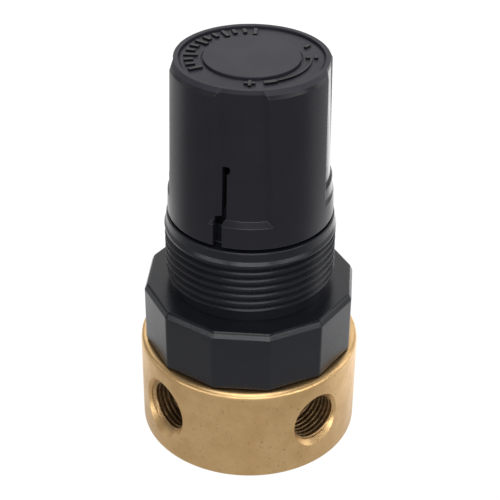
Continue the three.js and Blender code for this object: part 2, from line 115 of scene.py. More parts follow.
KNOB_BOTTOM = 45.15
KNOB_TOP = 73.67
KNOB_R = 14.5
KNOB_UPPER_R = 13.68
KNOB_CHAMFER_Z = 72.3
KNOB_FACE_R = 12.97
KNOB_TURN = -135.2
RECESSES = 4
RECESS_LOW = (13.7, 50.2)
RECESS_RAMP = (16.5, 45.9)
RECESS_FACE_R = 12.87
RECESS_FLOOR_HALF = 18.75
RECESS_OUTER_HALF = 22.5
PAD_R = 14.05
PAD_TOP = 52.3
SKIRT_BORE_R = 12.75
SKIRT_BORE_TOP = 51.6
BEAD_R = 12.42
KNOB_BORE_R = 11.75
KNOB_BORE_TOP = 70.8
HUB_R = 5
HUB_BOTTOM = 60
SOCKET_R = 3.05
SOCKET_TOP = 70
CHANNEL = (8.1, 12.1)
CHANNEL_DEPTH = 0.4
GROOVE_WIDTH = 0.28  # fine groove along each side of the channel
GROOVE_DEPTH = 0.2

# ---- Shape helpers: shapes are worked out in millimetres and made in metres ----


def make_mesh(name, verts, faces):
    mesh = bpy.data.meshes.new(name)
    mesh.from_pydata([tuple(MM * float(c) for c in v) for v in verts], [], faces)
    mesh.validate()
    mesh.update()
    piece = bpy.data.objects.new(name, mesh)
    bpy.context.scene.collection.objects.link(piece)
    return piece


def coat(piece, slot, nodes=(), smooth_angle=32.0):
    """Gives a piece smooth shading and the material of a slot, and hides the nodes that it
    replaces.
    """
    piece.data.shade_smooth()
    piece.data.set_sharp_from_angle(angle=math.radians(smooth_angle))
    piece.data.materials.clear()
    piece.data.materials.append(finishes[slot])
    for node in nodes:
        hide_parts(node)
    return piece


def dress(piece, body, slot, nodes=(), smooth_angle=32.0):
    """Finishes a rigid piece that moves with one body."""
    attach(piece, body)
    return coat(piece, slot, nodes, smooth_angle)


def circle(radius, height, angles):
    """A ring of points about Z. radius and height are numbers or one value for each angle."""
    r = np.broadcast_to(radius, angles.shape)
    z = np.broadcast_to(height, angles.shape)
    return np.stack([r * np.cos(angles), r * np.sin(angles), z], 1)


def stitch(rings, closed=False):
    """Joins equally long rings into a closed surface. Without closed, each end has a flat cap."""
    count = len(rings[0])
    faces = []
    for i in range(len(rings) if closed else len(rings) - 1):
        low, high = i * count, (i + 1) % len(rings) * count
        for j in range(count):
            k = (j + 1) % count
            faces.append((low + j, low + k, high + k, high + j))
    if not closed:
        faces.append(tuple(reversed(range(count))))
        faces.append(tuple(range((len(rings) - 1) * count, len(rings) * count)))
    return np.concatenate(rings), faces


def fillet(profile, radius, steps=3):
    """Rounds a closed outline's corners. A point may carry its own fillet as a third number."""
    sizes = [p[2] if len(p) > 2 else radius for p in profile]
    points = [np.array(p[:2], float) for p in profile]
    out = []
    for i, here in enumerate(points):
        a = points[i - 1] - here
        b = points[(i + 1) % len(points)] - here
        la, lb = np.linalg.norm(a), np.linalg.norm(b)
        half = math.acos(np.clip(a @ b / (la * lb), -1, 1)) / 2
        if sizes[i] <= 0 or half > math.radians(87):
            out.append(here)
            continue
        reach = min(sizes[i] / math.tan(half), 0.45 * la, 0.45 * lb)
        start, end = here + a / la * reach, here + b / lb * reach
        hold_a, hold_b = min(0.08, 0.04 * la), min(0.08, 0.04 * lb)
        out.append(start + a / la * hold_a)
        for t in np.linspace(0, 1, steps + 1):
            out.append((1 - t) ** 2 * start + 2 * t * (1 - t) * here + t**2 * end)
        out.append(end + b / lb * hold_b)
    return out


def turned(profile, radius=0.1, facets=128, turn=0.0, steps=3):
    """A turned solid, from an anticlockwise outline with the radius to the right.

    Points on the axis end it in flat caps.
    """
    angles = math.radians(turn) + np.arange(facets) * TAU / facets
    on_axis = any(p[0] == 0 for p in profile)
    points = fillet([(*p[:2], 0) if p[0] == 0 else p for p in profile], radius, steps)
    rings = [circle(p[0], p[1], angles) for p in points if p[0] > 0]
    return stitch(rings, closed=not on_axis)


def cut(piece, verts, faces):
    """Takes a closed shape out of a piece."""
    cutter = make_mesh("cutter", verts, faces)
    hole = piece.modifiers.new("cut", "BOOLEAN")
    hole.operation = "DIFFERENCE"
    hole.solver = "EXACT"
    hole.object = cutter
    depsgraph = bpy.context.evaluated_depsgraph_get()
    result = bpy.data.meshes.new_from_object(piece.evaluated_get(depsgraph))
    piece.modifiers.clear()
    piece.data = result
    bpy.data.objects.remove(cutter)


def placed(verts, matrix):
    return np.array([matrix @ Vector(v) for v in verts])


def about_z(degrees):
    return Matrix.Rotation(math.radians(degrees), 4, "Z")


def smooth_min(a, b, blend):
    h = np.clip(0.5 + 0.5 * (b - a) / blend, 0, 1)
    return b * (1 - h) + a * h - blend * h * (1 - h)


def smooth_max(a, b, blend):
    return -smooth_min(-a, -b, blend)


def step(edge0, edge1, x):
    t = np.clip((x - edge0) / (edge1 - edge0), 0, 1)
    return t * t * (3 - 2 * t)


THREAD_FORM = (  # stations of a thread's section, in turns from its crest
    -0.5, -0.42, -0.37, -0.33, -0.2, -0.14, -0.1, -0.06, -0.02,
    0.02, 0.06, 0.1, 0.14, 0.2, 0.33, 0.37, 0.42,
)
THREAD_CREST = 0.05  # half the crest's width, in turns
THREAD_FOOT = 0.36  # turns from the crest to the foot of the flank


def thread_height(phase):
    """Height of a V thread, from 0 at its root to 1 at its crest, at a phase in turns from it."""
    away = np.abs(phase - np.round(phase))
    height = (THREAD_FOOT - away) / (THREAD_FOOT - THREAD_CREST)
    return smooth_min(smooth_max(height, 0 * away, 0.08), 1 + 0 * away, 0.35)


def helix_rings(angles, low, high, pitch, crest, radius_at):
    """Rings between two heights that climb with a thread, so that its crests lie on them.

    radius_at(z, height of the thread) gives their radius.
    """
    rings = []
    for turn in range(math.floor((low - crest) / pitch) - 2, math.ceil((high - crest) / pitch) + 1):
        for part in THREAD_FORM:
            z = np.clip(crest + (turn + part) * pitch + pitch * angles / TAU, low, high)
            height = thread_height((z - crest) / pitch - angles / TAU)
            rings.append(circle(radius_at(z, height), z, angles))
    return rings


def strip(rings, closed=False):
    """Joins rings whose last point lies on their first, and welds them, as stitch does."""
    count = len(rings[0])
    faces = []
    for i in range(len(rings) if closed else len(rings) - 1):
        low, high = i * count, (i + 1) % len(rings) * count
        for j in range(count - 1):
            faces.append((low + j, low + j + 1, high + j + 1, high + j))
    if not closed:
        faces.append(tuple(reversed(range(count - 1))))
        faces.append(tuple(range((len(rings) - 1) * count, len(rings) * count - 1)))
    return weld(np.concatenate(rings), faces)


def weld(verts, faces, near=1e-4):
    """Merges points that lie on each other and drops the faces that this collapses."""
    keys = {}
    index = []
    kept = []
    for v in verts:
        key = tuple(np.round(np.asarray(v, float) / near).astype(int))
        if key not in keys:
            keys[key] = len(kept)
            kept.append(v)
        index.append(keys[key])
    out = []
    for face in faces:
        ring = [index[k] for k in face]
        ring = [k for i, k in enumerate(ring) if k != ring[i - 1]]
        if len(ring) > 2 and len(set(ring)) == len(ring):
            out.append(tuple(ring))
    return np.array(kept), out


# ---- Materials ----


class Nodes:
    """A short way to build a material: every call adds one node and returns it."""

    def __init__(self, name):
        self.material = bpy.data.materials.new(name)
        self.material.use_nodes = True
        self.tree = self.material.node_tree
        self.tree.nodes.clear()

    def add(self, kind, inputs=None, **settings):
        node = self.tree.nodes.new(kind)
        for key, value in settings.items():
            setattr(node, key, value)
        for key, value in (inputs or {}).items():
            socket = node.inputs[key]
            if isinstance(value, bpy.types.NodeSocket):
                self.tree.links.new(value, socket)
            else:
                socket.default_value = value
        return node

    def math(self, operation, a, b=0.0):
        return self.add("ShaderNodeMath", {0: a, 1: b}, operation=operation).outputs[0]

    def between(self, value, low, high, to_low=0.0, to_high=1.0):
        """value taken from low..high to to_low..to_high, smoothly and within them."""
        return self.add(
            "ShaderNodeMapRange",
            {0: value, 1: low, 2: high, 3: to_low, 4: to_high},
            interpolation_type="SMOOTHSTEP",
        ).outputs[0]

    def noise(self, vector, scale, detail=3.0, roughness=0.5):
        inputs = {"Vector": vector, "Scale": scale, "Detail": detail, "Roughness": roughness}
        return self.add("ShaderNodeTexNoise", inputs).outputs["Fac"]

    def mix(self, factor, a, b):
        node = self.add("ShaderNodeMix", data_type="RGBA")
        for socket, value in ((0, factor), (6, a), (7, b)):
            if isinstance(value, bpy.types.NodeSocket):
                self.tree.links.new(value, node.inputs[socket])
            else:
                node.inputs[socket].default_value = value
        return node.outputs[2]

    def place(self):
        """Where a point is on its object: one vector, then x, y, z and distance from the axis."""
        vector = self.add("ShaderNodeTexCoord").outputs["Object"]
        split = self.add("ShaderNodeSeparateXYZ", {0: vector})
        x, y, z = split.outputs
        squares = self.math("ADD", self.math("MULTIPLY", x, x), self.math("MULTIPLY", y, y))
        return vector, x, y, z, self.math("SQRT", squares)

    def bump(self, height, distance, strength=1.0, normal=None):
        inputs = {"Height": height, "Distance": distance, "Strength": strength}
        if normal:
            inputs["Normal"] = normal
        return self.add("ShaderNodeBump", inputs).outputs["Normal"]

    def principled(self, **inputs):
        named = {key.replace("_", " "): value for key, value in inputs.items()}
        shader = self.add("ShaderNodeBsdfPrincipled", named)
        self.add("ShaderNodeOutputMaterial", {"Surface": shader.outputs[0]})
        return self.material


def turned_metal(name, bright, dull, rough, shade_and_grime=0.0, grain=0.35):
    """Turned metal: fine rings round the axis, cloudy tarnish and dark spots, and, where asked,
    painted shade, streaked like grime, inside its bores and in the gap under the collar.
    """
    n = Nodes(name)
    vector, x, y, z, radius = n.place()
    angle = n.math("ARCTAN2", y, x)
    stretched = {
        0: n.math("MULTIPLY", radius, 9000.0),
        1: n.math("MULTIPLY", z, 9000.0),
        2: n.math("MULTIPLY", angle, 1.2),
    }
    rings = n.add("ShaderNodeCombineXYZ", stretched).outputs[0]
    fine = n.noise(rings, 1.0, 2.0)
    coarse = n.noise(rings, 0.22, 3.0)
    clouds = n.noise(vector, 210.0, 5.0, 0.6)
    spots = n.between(n.noise(vector, 1500.0, 3.0, 0.65), 0.60, 0.72)
    tarnish = n.math("MULTIPLY", n.between(clouds, 0.35, 0.7), 0.75)
    colour = n.mix(tarnish, (*bright, 1), (*dull, 1))
    dark = tuple(0.35 * c for c in dull)
    colour = n.mix(n.math("MULTIPLY", spots, 0.5), colour, (*dark, 1))
    wet = n.math("ADD", n.math("MULTIPLY", fine, 0.16), n.math("MULTIPLY", clouds, 0.16))
    roughness = n.math("ADD", wet, rough - 0.16)
    if shade_and_grime:
        # Painted shade: dark brown inside the ports and bores below the top face, and on the top
        # face in the gap under the collar, broken up in streaks and rougher there.
        below = n.between(z, (BODY_TOP - 0.2) * MM, (BODY_TOP - 1.6) * MM)
        bore_shade = n.math("MULTIPLY", n.between(radius, 0.0199, 0.0180), below)
        gap_shade = n.between(radius, 0.0186, 0.0181)
        streak = n.between(coarse, 0.3, 0.65, 0.6, 1.0)
        shade_and_dirt = n.math("MULTIPLY", n.math("MULTIPLY", n.math("MAXIMUM", bore_shade, gap_shade), streak), shade_and_grime)
        colour = n.mix(shade_and_dirt, colour, (0.10, 0.062, 0.035, 1))
        roughness = n.math("ADD", roughness, n.math("MULTIPLY", shade_and_dirt, 0.18))
    lines = n.math("ADD", n.math("MULTIPLY", fine, 0.5), coarse)
    normal = n.bump(lines, 0.000012, grain)
    normal = n.bump(n.noise(vector, 420.0, 4.0), 0.00005, 0.25, normal)
    return n.principled(Base_Color=colour, Metallic=1.0, Roughness=roughness, Normal=normal)


def moulded_plastic(name, colour, rough, specular, grain=0.3, face=None):
    """Moulded plastic with a fine grain, faint cloudy wear and a little dust.

    face is the height, in metres, over which it is painted paler, a painted sheen, and is also
    duller and more grained.
    """
    n = Nodes(name)
    vector, _, _, z, _ = n.place()
    clouds = n.noise(vector, 160.0, 5.0, 0.6)
    speckle = n.noise(vector, 5200.0, 2.0, 0.6)
    dust = n.between(n.noise(vector, 1900.0, 4.0, 0.7), 0.66, 0.78)
    worn = tuple(1.9 * c for c in colour)
    dusty = tuple(min(1.0, 5 * c + 0.02) for c in colour)
    tone = n.mix(n.math("MULTIPLY", clouds, 0.5), (*colour, 1), (*worn, 1))
    tone = n.mix(n.math("MULTIPLY", dust, 0.12), tone, (*dusty, 1))
    roughness = n.math("ADD", n.math("MULTIPLY", clouds, 0.16), rough - 0.08)
    strength = grain
    if face:
        # Painted sheen: above the face height the plastic is painted paler, standing in for the top
        # light's sheen; it is also rougher and more grained there.
        top = n.between(z, face - 0.0001, face)
        tone = n.mix(n.math("MULTIPLY", top, 0.8), tone, (*[2.8 * c for c in colour], 1))
        roughness = n.math("ADD", roughness, n.math("MULTIPLY", top, 0.22))
        strength = n.math("ADD", n.math("MULTIPLY", top, 0.5), grain)
    normal = n.bump(speckle, 0.00003, strength)
    normal = n.bump(clouds, 0.00006, 0.2, normal)
    return n.principled(
        Base_Color=tone, Roughness=roughness, Specular_IOR_Level=specular, Normal=normal
    )


def drawn_steel(name, colour, rough):
    """Steel wire or plate with fine drawing lines and a faint stain."""
    n = Nodes(name)
    vector = n.place()[0]
    clouds = n.noise(vector, 380.0, 4.0)
    fine = n.noise(vector, 6000.0, 2.0)
    stain = tuple(0.6 * c for c in colour)
    tone = n.mix(n.between(clouds, 0.35, 0.75), (*colour, 1), (*stain, 1))
    roughness = n.math("ADD", n.math("MULTIPLY", fine, 0.14), rough - 0.07)
    normal = n.bump(fine, 0.00001, 0.3)
    return n.principled(Base_Color=tone, Metallic=1.0, Roughness=roughness, Normal=normal)


BRASS_BODY = ((0.80, 0.53, 0.255), (0.66, 0.42, 0.185))  # bright and dull
BRASS_TURNED = ((0.80, 0.56, 0.27), (0.66, 0.43, 0.19))
KNOB_BLACK = (0.0092, 0.0092, 0.0128)
BONNET_BLACK = (0.0075, 0.008, 0.0108)
# The knob's face above this height is painted paler, a painted sheen.
FACE_SHEEN_FROM = KNOB_TOP * MM - 0.0007  # height over which the knob's plastic is that of its face

finishes = {
    # The body's brass gets painted shade inside its bores and in the gap under the collar.
    "brass_body": turned_metal("brass_body", *BRASS_BODY, 0.36, shade_and_grime=0.85),
    "brass_turned": turned_metal("brass_turned", *BRASS_TURNED, 0.30),
    "knob_plastic": moulded_plastic("knob_plastic", KNOB_BLACK, 0.26, 0.30, face=FACE_SHEEN_FROM),
    "bonnet_plastic": moulded_plastic("bonnet_plastic", BONNET_BLACK, 0.27, 0.34, grain=0.4),
    "acetal": moulded_plastic("acetal", (0.70, 0.68, 0.62), 0.42, 0.5, grain=0.1),
    "spring_steel": drawn_steel("spring_steel", (0.42, 0.42, 0.43), 0.34),
    "plated_steel": drawn_steel("plated_steel", (0.62, 0.62, 0.63), 0.38),
    "nitrile": moulded_plastic("nitrile", (0.012, 0.012, 0.013), 0.62, 0.35, grain=0.5),
}
marks = moulded_plastic("knob_marks", (0.004, 0.004, 0.005), 0.30, 0.25, grain=0.05)

NODE_FINISH = {
    "brass_turned": ["bottom_plug", "valve_poppet", "diaphragm_lower_plate", "spring_nut"],
    "acetal": ["valve_seat", "slip_ring"],
    "spring_steel": ["retaining_clip"],
    "plated_steel": ["diaphragm_upper_plate", "adjusting_screw", "thrust_washer"],
    "nitrile": ["bottom_plug_o_ring", "valve_stem_o_ring", "valve_seal", "valve_seat_o_ring"],
}
for slot_name, node_names in NODE_FINISH.items():
    for node_name in node_names:
        for material_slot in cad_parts[node_name].material_slots:
            material_slot.link = "OBJECT"
            material_slot.material = finishes[slot_name]

# ---- Body ----


def port_shape(chamfer_r, thread_from):
    """Cutter along +X for a port: a bore with a thread that runs out, and a countersink."""
    angles = np.linspace(0, TAU, 73)
    start, mouth = BODY_R - PORT_DEPTH, BODY_R - (chamfer_r - PORT_R)

    def radius_at(d, height):
        last = BODY_R - thread_from
        reach = step(start + 0.4, start + 1.8, d) * (1 - step(last - 0.3, last + 0.3, d))
        thread = PORT_R + (PORT_MAJOR_R + PORT_TAPER * (d - start) - PORT_R) * height * reach
        return np.maximum(thread, PORT_R + np.maximum(d - mouth, 0))

    rings = helix_rings(angles, start, BODY_R + 1.2, PORT_PITCH, start, radius_at)
    verts, faces = strip(rings)
    return placed(verts, Matrix.Rotation(math.radians(90), 4, "Y")), faces


def drill(radius, low, high, sides=32, turn=0.0):
    """Straight cutter along Z between two heights."""
    return turned([(0, low), (radius, low), (radius, high), (0, high)], 0, sides, turn)


def make_body():
    outline = [
        (SEAT_BORE_R, VALVE_CHAMBER_TOP),
        (VALVE_CHAMBER_R, VALVE_CHAMBER_TOP),
        (VALVE_CHAMBER_R, PLUG_TOP),
        (PLUG_BORE_R, PLUG_TOP),
        (PLUG_BORE_R, 0, 0.3),
        (BODY_R, 0, 0.42),
        (BODY_R, BODY_TOP, 1.1),
        (NECK_R, BODY_TOP, 0.1),
        (NECK_R, NECK_TOP, 0.5),
        (CHAMBER_R, NECK_TOP, 0.2),
        (CHAMBER_R, CHAMBER_FLOOR, 0.3),
        (SEAT_BORE_R, CHAMBER_FLOOR, 0.2),
    ]
    verts, faces = turned(outline, 0.08, 288, steps=5)
    piece = make_mesh("body_visual", verts, faces)
    for angle, chamfer_r, thread_from in (
        (180, INLET_CHAMFER_R, 0.9),
        (-90, PORT_CHAMFER_R, 1.0),
        (0, PORT_CHAMFER_R, 1.0),
        (90, PORT_CHAMFER_R, 1.0),
    ):
        verts, faces = port_shape(chamfer_r, thread_from)
        lift = Matrix.Translation((0, 0, INLET_Z if angle == 180 else PORT_Z))
        cut(piece, placed(verts, about_z(angle) @ lift), faces)
        if angle == 180:
            verts, faces = drill(PASSAGE_R, VALVE_CHAMBER_R - 1, BODY_R - PORT_DEPTH + 1)
            turn = Matrix.Rotation(math.radians(-90), 4, "Y")
            cut(piece, placed(verts, Matrix.Translation((0, 0, INLET_PASSAGE_Z)) @ turn), faces)
        else:
            verts, faces = drill(PASSAGE_R, PORT_Z, CHAMBER_FLOOR + 1)
            cut(piece, placed(verts, about_z(angle) @ Matrix.Translation((RISER_AT, 0, 0))), faces)
    dress(piece, "housing", "brass_body", ["body"], 28)


# ---- Springs and diaphragm, which lie between the bodies that they join ----

DIAPHRAGM = (23.05, 23.85)  # heights of its two faces
DIAPHRAGM_R = 16.6
DIAPHRAGM_BORE_R = 2.25
ROLL = (10.2, 11.1, 12.4, 13.3)
ROLL_DEPTH = 1.1
SECTORS = 24
VALVE_SPRING = (3.1, 0.25, 5.0, 7.95, 4)  # radius, radius of the wire, bottom, top, coils
REGULATING_SPRING = (7.8, 0.8, 25.15, 45.95, 7)
SPRING_SPLIT = 1.5  # turns from the regulating spring's foot to where its two pieces meet
CLOSED_PITCH = 2.2  # of an end coil, in wire radii


def coil(name, spring, first, last, sides=14, steps=40):
    """A part of a compression spring with closed end coils, from one number of turns to another."""
    radius, wire, bottom, top, coils = spring
    closed = CLOSED_PITCH * wire
    pitch = (top - bottom - 2 * wire - 2 * closed) / (coils - 2)
    around = np.arange(sides) * TAU / sides
    rings = []
    for turn in np.linspace(first, last, round((last - first) * steps) + 1):
        ends = min(turn, 1) + max(turn - coils + 1, 0)
        middle = bottom + wire + closed * ends + pitch * (turn - ends)
        rings.append(placed(circle_section(radius, wire, middle, around), about_z(360 * turn)))
    return make_mesh(name, *stitch(rings))


def circle_section(radius, wire, height, around):
    """The wire's section in the XZ plane, at a distance from the axis."""
    return np.stack([radius + wire * np.cos(around), 0 * around, height - wire * np.sin(around)], 1)


def make_valve_spring():
    bottom, top, coils = VALVE_SPRING[2:]
    piece = coil("valve_spring_visual", VALVE_SPRING, 0, coils)
    dress(piece, "housing", "spring_steel", ["valve_spring"])
    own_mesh(piece)


def make_regulating_spring():
    low = coil("regulating_spring_low", REGULATING_SPRING, 0, SPRING_SPLIT)
    high = coil("regulating_spring_high", REGULATING_SPRING, SPRING_SPLIT, REGULATING_SPRING[4])
    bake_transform(low)
    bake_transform(high)
    for piece in (low, high):
        coat(piece, "spring_steel", ["regulating_spring"])


def make_diaphragm():
    """Sectors that meet along their sides, each with a rolled section from its clamped rim to the
    plates.
    """
    low, high = DIAPHRAGM
    inset = (high - low) / 2
    outline = fillet(
        [
            (DIAPHRAGM_BORE_R, low),
            (ROLL[0], low),
            (ROLL[1], low - ROLL_DEPTH),
            (ROLL[2], low - ROLL_DEPTH),
            (ROLL[3], low),
            (DIAPHRAGM_R, low),
            (DIAPHRAGM_R, high),
            (ROLL[3] - inset, high),
            (ROLL[2] - inset, high - ROLL_DEPTH),
            (ROLL[1] + inset, high - ROLL_DEPTH),
            (ROLL[0] + inset, high),
            (DIAPHRAGM_BORE_R, high),
        ],
        0.1, 4,
    )
    half = math.pi / SECTORS
    for i in range(SECTORS):
        middle = 2 * half * i
        rings = []
        for angle in middle + np.linspace(-half, half, 5):
            c, s = math.cos(angle), math.sin(angle)
            rings.append(np.array([(p[0] * c, p[0] * s, p[1]) for p in outline]))
        piece = make_mesh(f"diaphragm_sector_{i + 1:02d}", *stitch(rings[::-1]))
        c, s = math.cos(middle), math.sin(middle)
        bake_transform(piece)
        coat(piece, "nitrile", ["diaphragm"])


# ---- Bonnet ----

CREST_TURN = 0.643  # turns from +X to where the panel thread's last crest has its height
CORNER_STEPS = (  # degrees from a corner of the collar to the points of its outline
    -12.5, -10, -7.5, -5, -3, -1.8, -1.1, -0.6, -0.25,
    0.25, 0.6, 1.1, 1.8, 3, 5, 7.5, 10, 12.5, 15,
)


def collar_outline(angles, blend=0.0075):
    """Share of the corner radius that a rounded twelve-sided outline has at each angle."""
    side = TAU / COLLAR_SIDES
    turn = (angles - math.radians(COLLAR_TURN)) % side
    next_side = np.cos(np.minimum(turn, side - turn) + side / 2)
    across = smooth_max(np.cos(turn - side / 2), next_side, blend)
    return math.cos(side / 2) / across


def hex_outline(angles):
    """Share of the corner radius that a hexagon has at each angle."""
    side = TAU / 6
    turn = (angles + math.radians(90)) % side
    return math.cos(side / 2) / np.cos(turn - side / 2)


def make_bonnet():
    corners = [COLLAR_TURN + 360 / COLLAR_SIDES * i for i in range(COLLAR_SIDES)]
    degrees = sorted((corner + s) % 360 for corner in corners for s in CORNER_STEPS)
    angles = np.radians([*degrees, degrees[0] + 360])
    share = collar_outline(angles)
    rings = []
    # Collar, from its bottom bore outwards and up.
    rings.append(circle(THREAD_BORE_R + 0.6, COLLAR_BOTTOM, angles))
    collar = [
        (THREAD_BORE_R, COLLAR_BOTTOM, 0),
        (COLLAR_R, COLLAR_BOTTOM, 0.25),
        (COLLAR_R, COLLAR_EDGE_Z, 0.3),
        (COLLAR_TOP_R, COLLAR_TOP, 0.6),
        (PANEL_ROOT_R, COLLAR_TOP, 0),
    ]
    for radius, height in fillet(collar, 0.2, 4)[1:-1]:
        rings.append(circle(radius * share, height, angles))
    # Panel thread, from its run-out over the collar to the land under the top band.
    low, high = COLLAR_TOP, PANEL_TOP

    def radius_at(z, height):
        thread = height * step(low + 1.3, low + 2.4, z)
        land = step(high - 0.7, high - 0.3, z)
        return PANEL_ROOT_R + (PANEL_R - PANEL_ROOT_R) * np.maximum(thread, land)

    crest = PANEL_LAST_CREST - PANEL_PITCH * CREST_TURN
    rings += helix_rings(angles, low, high, PANEL_PITCH, crest, radius_at)
    # Top band, snap step, tower and the inside.
    outline = [
        (PANEL_R, high, 0.08),
        (BAND_R, BAND_BOTTOM, 0.05),
        (BONNET_TOP_R, BONNET_TOP, 0.25),
        (STEP_R, BONNET_TOP, 0.15),
        (STEP_R, STEP_TOP, 0.25),
        (TOWER_R, STEP_TOP, 0.1),
        (TOWER_R, TOWER_TOP, 0.3),
        (ROOF_HOLE_R, TOWER_TOP, 0.15),
        (ROOF_HOLE_R, ROOF_Z, 0.15),
        (HEX_BORE_R, ROOF_Z, 0),
        (HEX_BORE_R, HEX_BORE_BOTTOM, 0),
        (SPRING_CAVITY_R, HEX_BORE_BOTTOM, 0),
        (SPRING_CAVITY_R, PLATE_CAVITY_TOP, 0.2),
        (PLATE_CAVITY_R, PLATE_CAVITY_TOP, 0.2),
        (PLATE_CAVITY_R, SHOULDER, 0.1),
        (THREAD_BORE_R, SHOULDER, 0.1),
        (THREAD_BORE_R, COLLAR_BOTTOM, 0.2),
        (THREAD_BORE_R + 1, COLLAR_BOTTOM, 0),
        (PANEL_R, high - 0.5, 0),
    ]
    hexagon = hex_outline(angles)
    for radius, height in fillet(outline, 0.1, 4)[:-2]:
        r = radius * hexagon if abs(radius - HEX_BORE_R) < 1e-6 else radius
        if radius == SPRING_CAVITY_R and height == HEX_BORE_BOTTOM:
            r = np.minimum(radius, HEX_BORE_R * hexagon)
        rings.append(circle(r, height, angles))
    piece = make_mesh("bonnet_visual", *strip(rings, closed=True))
    dress(piece, "housing", "bonnet_plastic", ["bonnet"])


# ---- Knob ----

EDGE_STEPS = (-1.6, -0.9, -0.5, -0.25, 0.0, 0.25, 0.5, 0.9, 1.6)  # degrees from a recess's edge
EDGE_BLEND = 0.07


def knob_surface(z):
    """The knob's outside radius without its recesses."""
    if z > KNOB_CHAMFER_Z:
        t = (z - KNOB_CHAMFER_Z) / (KNOB_TOP - KNOB_CHAMFER_Z)
        return KNOB_UPPER_R + t * (KNOB_FACE_R - KNOB_UPPER_R)
    t = (z - KNOB_BOTTOM) / (KNOB_CHAMFER_Z - KNOB_BOTTOM)
    return KNOB_R + t * (KNOB_UPPER_R - KNOB_R)


def corner_of(radius, degrees):
    return radius * np.array([math.cos(math.radians(degrees)), math.sin(math.radians(degrees))])


WALL_FOOT = corner_of(RECESS_LOW[0], RECESS_FLOOR_HALF)
WALL_RUN = corner_of(KNOB_R, RECESS_OUTER_HALF) - WALL_FOOT
WALL_NORMAL = np.array([WALL_RUN[1], -WALL_RUN[0]]) / np.linalg.norm(WALL_RUN)
WALL_REACH = WALL_FOOT @ WALL_NORMAL
WALL_LEAN = math.atan2(WALL_NORMAL[1], WALL_NORMAL[0])


def wall_radius(away):
    """Where the recess's slanting side wall is, at degrees from the recess's middle."""
    return WALL_REACH / np.cos(np.radians(away) - WALL_LEAN)


def wall_angle(radius):
    """The degrees from the recess's middle at which the side wall has a radius."""
    return math.degrees(math.acos(min(1.0, WALL_REACH / radius)) + WALL_LEAN)


PAD_ROUND = 0.5  # height over which the pad's top edge is rounded


def recess_floor(z, padded):
    """Radius of a recess's floor, its lower ramp and, where padded, the pad at its foot."""
    slope = (RECESS_FACE_R - RECESS_LOW[0]) / (KNOB_TOP + 1 - RECESS_LOW[1])
    floor = RECESS_LOW[0] + slope * (z - RECESS_LOW[1])
    ramp_slope = (RECESS_RAMP[0] - RECESS_LOW[0]) / (RECESS_RAMP[1] - RECESS_LOW[1])
    ramp = RECESS_LOW[0] + ramp_slope * (z - RECESS_LOW[1])
    if padded and z < PAD_TOP:
        rise = min(1.0, (PAD_TOP - z) / PAD_ROUND)
        floor = floor + (PAD_R - floor) * math.sqrt(1 - (1 - rise) ** 2)
    return float(smooth_max(floor, ramp, 0.06))


def knob_ring(radius, z):
    """One ring of the knob's outside, with its points gathered at the edges of the recesses."""
    quarter = 360 / RECESSES
    points = []
    for i in range(RECESSES):
        floor = recess_floor(z, i % 2 == 1)
        outer_edge = wall_angle(radius)
        floor_edge = min(wall_angle(min(floor, radius)), outer_edge - 0.3)
        wall = (floor_edge + outer_edge) / 2
        foot = [floor_edge + s for s in EDGE_STEPS if floor_edge + s < wall]
        rim = [outer_edge + s for s in EDGE_STEPS if outer_edge + s >= wall]
        while len(foot) < len(EDGE_STEPS):
            foot.append(foot[-1] + (wall - foot[-1]) * 0.3)
        while len(rim) < len(EDGE_STEPS):
            rim.insert(0, rim[0] - (rim[0] - wall) * 0.3)
        inside = list(np.linspace(0, foot[0], 9)[:-1])
        outside = list(np.linspace(rim[-1], quarter / 2, 12)[1:])
        half = inside + foot + rim + outside
        away = np.array([-a for a in reversed(half[1:])] + half[:-1])
        surface = smooth_max(np.full_like(away, floor), wall_radius(np.abs(away)), EDGE_BLEND)
        surface = smooth_min(np.full_like(away, radius), surface, EDGE_BLEND)
        points.append(circle(surface, z, np.radians(KNOB_TURN + quarter * i + away)))
    return np.concatenate(points)


# Rings on the knob's wall, as first height, end and spacing. They are closer at the ramp and pad.
LEVELS = (
    (46.2, 48.4, 0.7), (48.5, 50.9, 0.1), (51.0, 51.4, 0.2), (51.5, 52.45, 0.07), (52.8, 72.0, 0.7),
)


